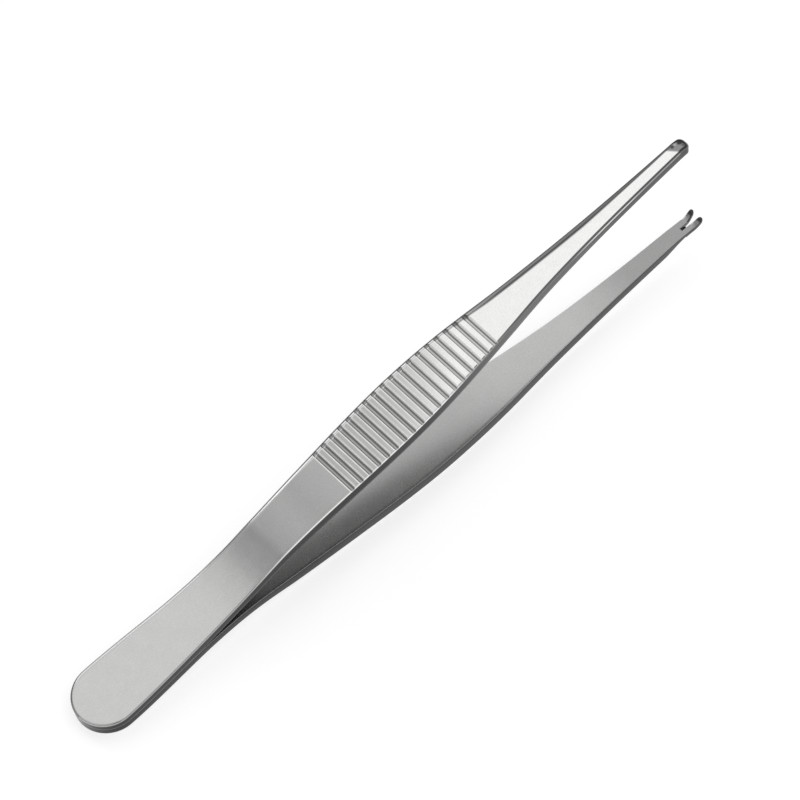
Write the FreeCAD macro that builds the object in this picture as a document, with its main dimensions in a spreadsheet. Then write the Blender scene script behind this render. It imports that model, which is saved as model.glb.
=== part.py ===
import FreeCAD, Part
import math
import os

import Sketcher

# Thumb forceps for holding tissue: two sprung steel arms, welded face to face at the heel.
# One arm ends in a single tooth, the other in a fork of two teeth that takes it.
# Each arm is drawn along +X from the heel, with its joining face on Z = 0 and its outer face up.
# The assembly then lies on its lower arm, as it rests on a table.

# Driving sizes in millimetres, angles in degrees.
# Stations are measured from the heel's end, and setbacks from the tip's end.
SIZES = {
    # Length and the places along the arm
    "overall_length": 140.0,
    "weld_length": 17.0,
    "weld_lead": 7.5,
    "bend_station": 35.0,
    "shank_station": 40.5,
    "grip_station": 76.4,
    "grip_reach": 20.0,
    "grip_lead": 7.5,
    "neck_station": 108.0,
    "throat_setback": 6.0,
    # Height of the joining face above the middle plane
    "bend_rise": 1.05,
    "shank_rise": 2.55,
    "grip_rise": 7.15,
    "neck_rise": 10.05,
    "throat_rise": 11.05,
    "tip_rise": 11.25,
    # The bow of the grip
    "bow_radius": 800.0,
    "bow_slope": 5.9,
    # Thickness of the arm
    "heel_thickness": 1.55,
    "weld_thickness": 1.85,
    "bend_thickness": 2.05,
    "shank_thickness": 2.15,
    "grip_thickness": 2.5,
    "neck_thickness": 2.35,
    "throat_thickness": 2.2,
    # Width of the arm
    "heel_radius": 6.0,
    "heel_lead": 5.0,
    "rear_width_station": 22.0,
    "rear_width": 10.0,
    "waist_station": 38.0,
    "waist_width": 9.05,
    "palm_station": 55.0,
    "palm_width": 10.1,
    "belly_station": 75.0,
    "belly_width": 12.0,
    "shoulder_station": 91.0,
    "shoulder_width": 9.2,
    "taper_station": 103.0,
    "taper_width": 5.75,
    "shaft_setback": 20.0,
    "shaft_width": 3.5,
    "throat_width": 2.6,
    "tip_lead": 1.5,
    # Cross grooves of the grip
    "groove_count": 18,
    "groove_pitch": 2.0,
    "groove_setback": 0.6,
    "groove_mouth": 0.95,
    "groove_floor": 0.45,
    "groove_depth": 0.35,
    # The tip's nose and its teeth
    "nose_length": 2.4,
    "nose_lead": 1.3,
    "nose_height": 0.9,
    "tooth_run": 2.2,
    "tooth_rise": 0.8,
    "tooth_set_back": 0.35,
    "single_tip_width": 2.5,
    "single_nose_radius": 1.1,
    "single_tooth_width": 0.7,
    "fork_tip_width": 2.8,
    "fork_nose_radius": 0.7,
    "notch_root_width": 0.5,
    "notch_mouth_width": 1.4,
    "notch_depth": 2.1,
    "pit_length": 1.5,
    "pit_width": 0.55,
    "pit_depth": 1.1,
    "pit_lead": 0.15,
}

SHEET = "Sizes"
# How far a cutting outline stays outside the steel
OUTSIDE_MARGIN = 10.0
# The least volume that a cutting step has to take away
CUT_TOLERANCE = 0.001


def make_sheet(document):
    """Writes the driving sizes into a spreadsheet, one alias for each."""
    sheet = document.addObject("Spreadsheet::Sheet", SHEET)
    for row, (name, value) in enumerate(SIZES.items(), start=1):
        sheet.set(f"A{row}", name)
        sheet.set(f"B{row}", str(value))
        sheet.setAlias(f"B{row}", name)
    document.recompute()
    return sheet


def size(name):
    """Gives the expression that names one cell of the sheet."""
    return f"{SHEET}.{name}"


def number(owner, expression):
    """Works out an expression as a plain number."""
    result = owner.evalExpression(expression)
    return float(getattr(result, "Value", result))


def origin_plane(body, role):
    """Finds one of the body's own origin planes."""
    return next(item for item in body.Origin.OriginFeatures if item.Role == role)


def add_sketch(body, name, role):
    """Adds a sketch on one of the body's origin planes."""
    sketch = body.newObject("Sketcher::SketchObject", name)
    sketch.AttachmentSupport = [(origin_plane(body, role), "")]
    sketch.MapMode = "FlatFace"
    return sketch


def bind(sketch, kind, references, expression):
    """Adds a dimension to a sketch and ties it to an expression."""
    value = number(sketch, expression)
    index = sketch.addConstraint(Sketcher.Constraint(kind, *references, value))
    sketch.setExpression(f"Constraints[{index}]", expression)
    return index


def pin(sketch, geometry, vertex, across, up):
    """Places a vertex of the sketch by its distances from the origin."""
    bind(sketch, "DistanceX", (-1, 1, geometry, vertex), across)
    bind(sketch, "DistanceY", (-1, 1, geometry, vertex), up)


def add_line(sketch, start, end):
    """Adds a straight edge between two points given as expressions."""
    ends = [FreeCAD.Vector(number(sketch, across), number(sketch, up), 0) for across, up in (start, end)]
    return sketch.addGeometry(Part.LineSegment(*ends), False)


def add_curve(sketch, points, first_pinned=1):
    """Adds a smooth cubic curve whose control points are tied to expressions."""
    degree = 3
    poles = [FreeCAD.Vector(number(sketch, across), number(sketch, up), 0) for across, up in points]
    curve = sketch.addGeometry(Part.BSplineCurve(poles, None, None, False, degree, None, False), False)
    sketch.exposeInternalGeometry(curve)
    for offset, (across, up) in enumerate(points, start=1):
        if offset >= first_pinned:
            pin(sketch, curve + offset, 3, across, up)
    return curve


def join(sketch, first, first_vertex, second, second_vertex):
    """Makes two vertices of the sketch one."""
    sketch.addConstraint(Sketcher.Constraint("Coincident", first, first_vertex, second, second_vertex))


# Expressions for the bow: a heading is the angle of the grip's face above the middle plane.
BOW_HALF = f"asin({size('grip_reach')} / {size('bow_radius')})"
REAR_HEADING = f"({size('bow_slope')} * 1 deg + {BOW_HALF})"
FRONT_HEADING = f"({size('bow_slope')} * 1 deg - {BOW_HALF})"
OUTER_BOW = size("bow_radius")
INNER_BOW = f"({size('bow_radius')} - {size('grip_thickness')})"
BOW_CENTRE = (
    f"({size('grip_station')} + {size('bow_radius')} * sin({size('bow_slope')} * 1 deg))",
    f"({size('grip_rise')} + {size('grip_thickness')} - {size('bow_radius')} * cos({size('bow_slope')} * 1 deg))",
)
TIP_ROOT = f"({size('overall_length')} - {size('tooth_run')})"
THROAT = f"({size('overall_length')} - {size('throat_setback')})"
SHAFT = f"({size('overall_length')} - {size('shaft_setback')})"


def bow_point(radius, heading, lead="0"):
    """Gives a point on the bow, moved along the bow's tangent by a lead."""
    across = f"{BOW_CENTRE[0]} - {radius} * sin({heading}) + {lead} * cos({heading})"
    up = f"{BOW_CENTRE[1]} + {radius} * cos({heading}) + {lead} * sin({heading})"
    return across, up


def face_height(place, outer):
    """Gives the height of the joining or the outer face at a named place."""
    if outer:
        return f"{size(place + '_rise')} + {size(place + '_thickness')}"
    return size(f"{place}_rise")


def rear_points(outer):
    """Gives the control points of one face from the heel to the grip."""
    radius = OUTER_BOW if outer else INNER_BOW
    weld_height = size("weld_thickness") if outer else "0"
    start = [("0", size("heel_thickness"))] if outer else []
    return start + [
        (size("weld_length"), weld_height),
        (f"{size('weld_length')} + {size('weld_lead')}", weld_height),
        (size("bend_station"), face_height("bend", outer)),
        (size("shank_station"), face_height("shank", outer)),
        bow_point(radius, REAR_HEADING, f"(-{size('grip_lead')})"),
        bow_point(radius, REAR_HEADING),
    ]


def front_points(outer):
    """Gives the control points of one face from the grip to the tip."""
    radius = OUTER_BOW if outer else INNER_BOW
    end = (f"{size('overall_length')} - {size('nose_length')}", f"{size('tip_rise')} + {size('throat_thickness')}")
    return [
        bow_point(radius, FRONT_HEADING),
        bow_point(radius, FRONT_HEADING, size("grip_lead")),
        (size("neck_station"), face_height("neck", outer)),
        (THROAT, face_height("throat", outer)),
        end if outer else (TIP_ROOT, size("tip_rise")),
    ]


def nose_points():
    """Gives the control points of the rounded nose, from the outer face to the end face."""
    top = f"{size('tip_rise')} + {size('throat_thickness')}"
    foot = f"{size('tip_rise')} + {size('nose_height')}"
    return [
        (f"{size('overall_length')} - {size('nose_length')}", top),
        (f"{size('overall_length')} - {size('nose_length')} + {size('nose_lead')}", top),
        (size("overall_length"), f"({top} + {foot}) / 2"),
        (size("overall_length"), foot),
    ]


def add_bow(sketch, radius):
    """Adds the bow's arc between the rear and the front of the grip."""
    angles = [math.pi / 2 + math.radians(number(sketch, heading)) for heading in (FRONT_HEADING, REAR_HEADING)]
    arc = add_round(sketch, BOW_CENTRE, radius, *angles)
    bind(sketch, "Radius", (arc,), radius)
    return arc


def add_side_view(body):
    """Pads the side view of the arm across its greatest width."""
    sketch = add_sketch(body, "SideView", "XZ_Plane")
    crest = (
        f"{size('overall_length')} - {size('tooth_set_back')}",
        f"{size('tip_rise')} - {size('tooth_rise')}",
    )
    joining = add_line(sketch, ("0", "0"), (size("weld_length"), "0"))
    inner_rear = add_curve(sketch, rear_points(outer=False))
    inner_bow = add_bow(sketch, INNER_BOW)
    inner_front = add_curve(sketch, front_points(outer=False))
    tooth_back = add_line(sketch, (TIP_ROOT, size("tip_rise")), crest)
    nose = add_curve(sketch, nose_points(), first_pinned=2)
    end_face = add_line(sketch, crest, nose_points()[-1])
    outer_front = add_curve(sketch, front_points(outer=True))
    outer_bow = add_bow(sketch, OUTER_BOW)
    outer_rear = add_curve(sketch, rear_points(outer=True))
    heel_end = add_line(sketch, ("0", size("heel_thickness")), ("0", "0"))

    pin(sketch, joining, 1, "0", "0")
    join(sketch, joining, 2, inner_rear, 1)
    join(sketch, inner_rear, 2, inner_bow, 2)
    join(sketch, inner_bow, 1, inner_front, 1)
    join(sketch, inner_front, 2, tooth_back, 1)
    pin(sketch, tooth_back, 2, *crest)
    join(sketch, tooth_back, 2, end_face, 1)
    join(sketch, end_face, 2, nose, 2)
    join(sketch, nose, 1, outer_front, 2)
    join(sketch, outer_front, 1, outer_bow, 1)
    join(sketch, outer_bow, 2, outer_rear, 2)
    join(sketch, outer_rear, 1, heel_end, 1)
    join(sketch, heel_end, 2, joining, 1)

    pad = body.newObject("PartDesign::Pad", "Blank")
    pad.Profile = sketch
    pad.SideType = "Symmetric"
    pad.setExpression("Length", f"2 * {size('belly_width')}")
    return pad


def outline_points(tip_width, nose_radius):
    """Gives the control points of one long side in plan, from the heel to the tip."""
    places = ("waist", "palm", "belly", "shoulder", "taper")
    heel = [
        (size("heel_radius"), size("heel_radius")),
        (f"{size('heel_radius')} + {size('heel_lead')}", size("heel_radius")),
        (size("rear_width_station"), f"{size('rear_width')} / 2"),
    ]
    middle = [(size(f"{place}_station"), f"{size(place + '_width')} / 2") for place in places]
    nose_start = f"{size('overall_length')} - {size(nose_radius)}"
    tip = [
        (SHAFT, f"{size('shaft_width')} / 2"),
        (THROAT, f"{size('throat_width')} / 2"),
        (f"{nose_start} - {size('tip_lead')}", f"{size(tip_width)} / 2"),
        (nose_start, f"{size(tip_width)} / 2"),
    ]
    return heel + middle + tip


def mirrored(points):
    """Turns points of the left side into points of the right side."""
    return [(across, f"-({up})") for across, up in points]


def add_round(sketch, centre, radius, first_angle, last_angle):
    """Adds a circular arc drawn about a centre."""
    middle = FreeCAD.Vector(*(number(sketch, part) for part in centre), 0)
    circle = Part.Circle(middle, FreeCAD.Vector(0, 0, 1), number(sketch, radius))
    return sketch.addGeometry(Part.ArcOfCircle(circle, first_angle, last_angle), False)


def add_corner(sketch, centre, radius, first_angle, last_angle):
    """Adds a rounded corner that is held by its centre."""
    corner = add_round(sketch, centre, radius, first_angle, last_angle)
    pin(sketch, corner, 3, *centre)
    return corner


def cut_plan_view(body, tip_width, nose_radius):
    """Cuts the blank to the arm's outline in plan."""
    sketch = add_sketch(body, "PlanView", "XY_Plane")
    left_points = outline_points(tip_width, nose_radius)
    left = add_curve(sketch, left_points)
    right = add_curve(sketch, mirrored(left_points))
    heel = add_round(sketch, (size("heel_radius"), "0"), size("heel_radius"), math.pi / 2, 3 * math.pi / 2)
    bind(sketch, "DistanceX", (-1, 1, heel, 3), size("heel_radius"))
    join(sketch, heel, 1, left, 1)
    join(sketch, heel, 2, right, 1)

    corner_across = f"{size('overall_length')} - {size(nose_radius)}"
    corner_up = f"{size(tip_width)} / 2 - {size(nose_radius)}"
    left_corner = add_corner(sketch, (corner_across, corner_up), size(nose_radius), 0, math.pi / 2)
    right_corner = add_corner(sketch, (corner_across, f"-({corner_up})"), size(nose_radius), -math.pi / 2, 0)
    join(sketch, left_corner, 2, left, 2)
    join(sketch, right_corner, 1, right, 2)
    end = add_line(sketch, (size("overall_length"), corner_up), (size("overall_length"), f"-({corner_up})"))
    join(sketch, end, 1, left_corner, 1)
    join(sketch, end, 2, right_corner, 2)
    sketch.addConstraint(Sketcher.Constraint("Horizontal", left_corner, 3, left_corner, 1))
    sketch.addConstraint(Sketcher.Constraint("Horizontal", right_corner, 3, right_corner, 2))

    add_frame(sketch)
    return add_pocket(body, sketch, "Outline")


def add_frame(sketch):
    """Draws a rectangle that lies well outside the blank."""
    low = f"-{OUTSIDE_MARGIN}"
    far = f"{size('overall_length')} + {OUTSIDE_MARGIN}"
    half = f"{size('belly_width')} + {OUTSIDE_MARGIN}"
    corners = [(low, f"-({half})"), (far, f"-({half})"), (far, half), (low, half)]
    add_polygon(sketch, corners)


def add_polygon(sketch, corners):
    """Draws a closed polygon whose corners are tied to expressions."""
    lines = [add_line(sketch, corner, corners[(place + 1) % len(corners)]) for place, corner in enumerate(corners)]
    for place, line in enumerate(lines):
        join(sketch, line, 2, lines[(place + 1) % len(lines)], 1)
        pin(sketch, line, 1, *corners[place])


def add_pocket(body, sketch, name, length=None):
    """Cuts a sketch right through the body, or to a length on both sides of its plane."""
    pocket = body.newObject("PartDesign::Pocket", name)
    pocket.Profile = sketch
    pocket.SideType = "Symmetric"
    if length is None:
        pocket.Type = "ThroughAll"
    else:
        pocket.setExpression("Length", length)
    return pocket


def make_groove_cutter(document, label):
    """Makes a row of bars, all turned about the bow's centre, to cut the grip's cross grooves.

    The row's middle lies a little nearer to the heel than the bow's middle.
    """
    cutter = document.addObject("PartDesign::Body", f"{label}_groove_cutter")
    cutter.AllowCompound = True
    step = f"({size('groove_pitch')} / {size('bow_radius')} * 180 / pi)"
    setback = f"({size('groove_setback')} / {size('bow_radius')} * 180 / pi)"
    sketch = add_sketch(cutter, "GrooveSection", "XZ_Plane")
    sketch.setExpression("AttachmentOffset.Base.x", BOW_CENTRE[0])
    sketch.setExpression("AttachmentOffset.Base.y", BOW_CENTRE[1])
    sketch.setExpression(
        "AttachmentOffset.Rotation.Angle",
        f"{size('bow_slope')} + {setback} + {step} * ({size('groove_count')} - 1) / 2",
    )
    mouth = f"{size('groove_mouth')} / 2"
    floor = f"{size('groove_floor')} / 2"
    surface = size("bow_radius")
    bottom = f"{surface} - {size('groove_depth')}"
    above = f"{surface} + {size('groove_depth')}"
    add_polygon(sketch, [
        (f"-{floor}", bottom), (floor, bottom), (mouth, surface),
        (mouth, above), (f"-{mouth}", above), (f"-{mouth}", surface),
    ])
    bar = cutter.newObject("PartDesign::Pad", "Bar")
    bar.Profile = sketch
    bar.SideType = "Symmetric"
    bar.setExpression("Length", f"2 * {size('belly_width')}")
    pattern = cutter.newObject("PartDesign::PolarPattern", "Bars")
    pattern.Originals = [bar]
    pattern.Axis = (sketch, ["N_Axis"])
    pattern.Reversed = True
    pattern.Mode = "Spacing"
    pattern.setExpression("Offset", step)
    pattern.setExpression("Occurrences", size("groove_count"))
    cutter.Tip = pattern
    return cutter


def cut_grooves(body, cutter):
    """Cuts the cross grooves with the row of bars."""
    grooves = body.newObject("PartDesign::Boolean", "Grooves")
    grooves.Type = "Cut"
    grooves.addObjects([cutter])
    body.Tip = grooves
    return grooves


def cut_single_tooth(body):
    """Cuts the steel away on both sides of the one tooth."""
    sketch = add_sketch(body, "ToothSides", "XY_Plane")
    far = f"{size('overall_length')} + {OUTSIDE_MARGIN}"
    near_side = f"{size('single_tooth_width')} / 2"
    far_side = f"{size('single_tip_width')} / 2 + {OUTSIDE_MARGIN}"
    add_polygon(sketch, [(TIP_ROOT, near_side), (far, near_side), (far, far_side), (TIP_ROOT, far_side)])
    add_polygon(sketch, [
        (TIP_ROOT, f"-({far_side})"), (far, f"-({far_side})"),
        (far, f"-({near_side})"), (TIP_ROOT, f"-({near_side})"),
    ])
    sides = body.newObject("PartDesign::Pocket", "ToothSideCuts")
    sides.Profile = sketch
    sides.Reversed = True
    sides.setExpression("Length", size("tip_rise"))
    return sides


def cut_fork(body):
    """Cuts the notch between the two teeth, and the pit that leads into it."""
    root_across = f"{size('overall_length')} - {size('notch_depth')}"
    sketch = add_sketch(body, "NotchPlan", "XY_Plane")
    root = f"{size('notch_root_width')} / 2"
    mouth = f"{size('notch_mouth_width')} / 2"
    far = f"{size('overall_length')} + {OUTSIDE_MARGIN}"
    add_polygon(sketch, [
        (root_across, f"-{root}"), (size("overall_length"), f"-{mouth}"), (far, f"-{mouth}"),
        (far, mouth), (size("overall_length"), mouth), (root_across, root),
    ])
    add_pocket(body, sketch, "Notch")

    side = add_sketch(body, "PitSide", "XZ_Plane")
    pit_start = f"{root_across} - {size('pit_length')}"
    pit_end = f"{root_across} + {size('pit_lead')}"
    below = f"{size('tip_rise')} - {size('tooth_rise')}"
    add_polygon(side, [
        (pit_start, below), (pit_end, below),
        (pit_end, f"{size('tip_rise')} + {size('pit_depth')}"), (pit_start, size("throat_rise")),
    ])
    return add_pocket(body, side, "Pit", size("pit_width"))


def check_cut(before, after):
    """Makes sure that a cutting step took steel away."""
    if not after.Shape.Volume < before.Shape.Volume - CUT_TOLERANCE:
        raise RuntimeError(f"{after.Name} cuts nothing")


def make_arm(document, label, tip_width, nose_radius, cut_tip):
    """Makes one arm: side view, plan view, grooves and tip."""
    body = document.addObject("PartDesign::Body", label)
    body.Label = label
    blank = add_side_view(body)
    document.recompute()
    outline = cut_plan_view(body, tip_width, nose_radius)
    document.recompute()
    check_cut(blank, outline)
    cutter = make_groove_cutter(document, label)
    document.recompute()
    grooves = cut_grooves(body, cutter)
    document.recompute()
    check_cut(outline, grooves)
    tip = cut_tip(body)
    document.recompute()
    check_cut(grooves, tip)
    return body


def rest_tilt(sheet):
    """Finds how far the arms tip up when the lower one lies on its heel and its bow, in radians."""
    slope = math.radians(sheet.bow_slope)
    across = sheet.grip_station + sheet.bow_radius * math.sin(slope)
    up = sheet.grip_rise + sheet.grip_thickness - sheet.bow_radius * math.cos(slope) - sheet.heel_thickness
    return math.acos(-sheet.bow_radius / math.hypot(across, up)) - math.atan2(across, up)


def lay_down(arms, tilt):
    """Turns the arms to their rest on the table, with the origin under the middle of their box."""
    lean = FreeCAD.Placement(FreeCAD.Vector(), FreeCAD.Rotation(FreeCAD.Vector(0, 1, 0), -math.degrees(tilt)))
    flip = FreeCAD.Placement(FreeCAD.Vector(), FreeCAD.Rotation(FreeCAD.Vector(1, 0, 0), 180))
    upper, lower = arms
    upper.Placement = lean
    lower.Placement = lean.multiply(flip)
    box = FreeCAD.BoundBox()
    for arm in arms:
        box.add(arm.Shape.optimalBoundingBox(False, False))
    shift = FreeCAD.Vector(-box.Center.x, -box.Center.y, -box.ZMin)
    for arm in arms:
        arm.Placement = FreeCAD.Placement(shift, FreeCAD.Rotation()).multiply(arm.Placement)


def check_document(document):
    """Stops if any step failed."""
    for item in document.Objects:
        if "Invalid" in item.State or "Error" in item.State:
            raise RuntimeError(f"{item.Name} failed: {item.State}")


def export(arms):
    """Writes each arm's solid to a file named after it."""
    os.makedirs("parts", exist_ok=True)
    for arm in arms:
        if arm.Shape.isNull() or not arm.Shape.isValid():
            raise RuntimeError(f"{arm.Label} has no valid solid")
        arm.Shape.exportStep(f"parts/{arm.Label}.step")
        print(arm.Label, "volume", arm.Shape.Volume, "solids", len(arm.Shape.Solids))


def main():
    """Builds the forceps."""
    document = FreeCAD.newDocument("ThumbForceps")
    sheet = make_sheet(document)
    arms = (
        make_arm(document, "single_tooth_arm", "single_tip_width", "single_nose_radius", cut_single_tooth),
        make_arm(document, "two_tooth_arm", "fork_tip_width", "fork_nose_radius", cut_fork),
    )
    lay_down(arms, rest_tilt(sheet))
    document.recompute()
    check_document(document)
    export(arms)


main()
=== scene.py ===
"""Thumb forceps of satin steel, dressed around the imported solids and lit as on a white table."""
import logging
import math
from abc import ABC, abstractmethod
from dataclasses import dataclass, field, replace
from enum import Enum
from typing import Callable

import bmesh
import bpy
import numpy as np
from mathutils import Matrix, Vector


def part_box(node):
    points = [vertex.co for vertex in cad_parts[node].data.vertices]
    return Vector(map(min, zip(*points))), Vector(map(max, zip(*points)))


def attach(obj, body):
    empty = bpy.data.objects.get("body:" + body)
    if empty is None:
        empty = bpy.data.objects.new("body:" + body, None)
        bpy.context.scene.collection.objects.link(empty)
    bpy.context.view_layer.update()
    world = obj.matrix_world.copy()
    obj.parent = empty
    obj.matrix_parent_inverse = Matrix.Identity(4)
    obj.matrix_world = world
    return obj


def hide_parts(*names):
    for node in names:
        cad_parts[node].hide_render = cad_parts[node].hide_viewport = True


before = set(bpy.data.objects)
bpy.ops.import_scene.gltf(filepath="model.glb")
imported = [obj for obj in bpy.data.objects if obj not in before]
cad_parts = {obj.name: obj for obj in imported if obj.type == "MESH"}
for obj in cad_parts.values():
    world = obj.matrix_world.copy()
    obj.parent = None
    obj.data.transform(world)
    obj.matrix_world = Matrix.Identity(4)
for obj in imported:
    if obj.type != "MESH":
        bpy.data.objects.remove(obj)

LOG = logging.getLogger("forceps")

# Lengths in this file are millimetres until a mesh is laid down, and the scene itself is in metres.
MM = 0.001
# The station attribute is 1 here, and so is the place of a tone in its ramp.
STATION_SPAN = 140.0
QUARTER_TURN = math.pi / 2
BEVEL_SEGMENTS = 2
ROUND_PROFILE = 0.5

# A point holds a station along the arm and a height, or a station and a value there.
Point = tuple[float, float]
Row = tuple[Point, ...]
# A span is where something starts and where it is full.
Span = tuple[float, float]
Place = tuple[float, float, float]
Curve = Callable[[np.ndarray], np.ndarray]
Socket = bpy.types.NodeSocket


class Face(Enum):
    """The two long faces of an arm."""

    JOINING = "joining"
    OUTER = "outer"


class Side(Enum):
    """The two sides of an arm, each with its direction along Y."""

    LEFT = 1.0
    RIGHT = -1.0


class Tool(Enum):
    """What a tool does to the arm that it meets."""

    JOIN = "UNION"
    CUT = "DIFFERENCE"


class Zone(Enum):
    """Point attributes that tell the finish where on the arm it is."""

    STATION = "station"
    ACROSS = "across"
    RIM = "rim"
    INNER = "inner"
    DROP = "drop"
    TIP = "tip"


class GrooveShading(Enum):
    """Attributes that the groove tree stores: a groove's bed and its far wall's foot, which get painted
    shade, and its lips, which get a painted highlight.
    """

    BED = "bed"
    LIP = "lip"
    FOOT = "foot"


class GrooveSize(Enum):
    """The named inputs of the groove tree."""

    FIRST = "First"
    PITCH = "Pitch"
    COUNT = "Count"
    MOUTH = "Mouth"
    FLOOR = "Floor"
    DEPTH = "Depth"


def cubic_spline(poles: list[Point], samples: int = 1200) -> np.ndarray:
    """Samples a clamped cubic B-spline with evenly spaced knots.

    Args:
        poles: Control points, in order.
        samples: How many points to give.

    Returns:
        An array of points, one row each.
    """
    degree = 3
    control = np.array(poles, float)
    spans = len(control) - degree
    knots = np.concatenate([np.zeros(degree), np.linspace(0.0, 1.0, spans + 1), np.ones(degree)])
    places = np.linspace(0.0, 1.0, samples)
    basis = np.zeros((len(knots) - 1, samples))
    for index in range(len(knots) - 1):
        last = knots[index + 1] == 1.0 and knots[index] < 1.0
        inside = (places >= knots[index]) & ((places < knots[index + 1]) | (last & (places <= 1.0)))
        basis[index] = inside
    for order in range(1, degree + 1):
        raised = np.zeros((len(basis) - 1, samples))
        for index in range(len(raised)):
            rise = knots[index + order] - knots[index]
            fall = knots[index + order + 1] - knots[index + 1]
            if rise > 0:
                raised[index] += (places - knots[index]) / rise * basis[index]
            if fall > 0:
                raised[index] += (knots[index + order + 1] - places) / fall * basis[index + 1]
        basis = raised
    return basis.T @ control


def soft_step(value: float, low: float, high: float) -> float:
    """Gives a soft step from 0 to 1.

    Args:
        value: What is read.
        low: Where the step starts.
        high: Where it is full.

    Returns:
        The share, from 0 to 1.
    """
    share = min(max((value - low) / (high - low), 0.0), 1.0)
    return share * share * (3.0 - 2.0 * share)


def read_row(row: Row, station: float) -> float:
    """Reads a row of stations and values, straight between its marks.

    Args:
        row: Stations and the value at each.
        station: Where it is read.

    Returns:
        The value there.
    """
    return float(np.interp(station, *zip(*row)))


def smooth_row(share: float, row: tuple[float, ...]) -> float:
    """Reads a row of evenly spaced values, eased between neighbours.

    Args:
        share: Where it is read, as a share of the row's length.
        row: The values.

    Returns:
        The value there.
    """
    place = share * (len(row) - 1)
    index = min(int(place), len(row) - 2)
    before, after = row[max(index - 1, 0)], row[min(index + 2, len(row) - 1)]
    low, high, step = row[index], row[index + 1], place - index
    rise, fall = (high - before) / 2, (after - low) / 2
    cube, square = step ** 3, step ** 2
    return ((2 * cube - 3 * square + 1) * low + (cube - 2 * square + step) * rise
            + (3 * square - 2 * cube) * high + (cube - square) * fall)


@dataclass(frozen=True)
class Section:
    """A place along an arm: its station, the joining face's height and the steel's thickness."""

    station: float
    rise: float
    thickness: float

    def point(self, face: Face) -> Point:
        """Gives the station and height of one face."""
        return self.station, self.rise + (self.thickness if face is Face.OUTER else 0.0)


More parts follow.
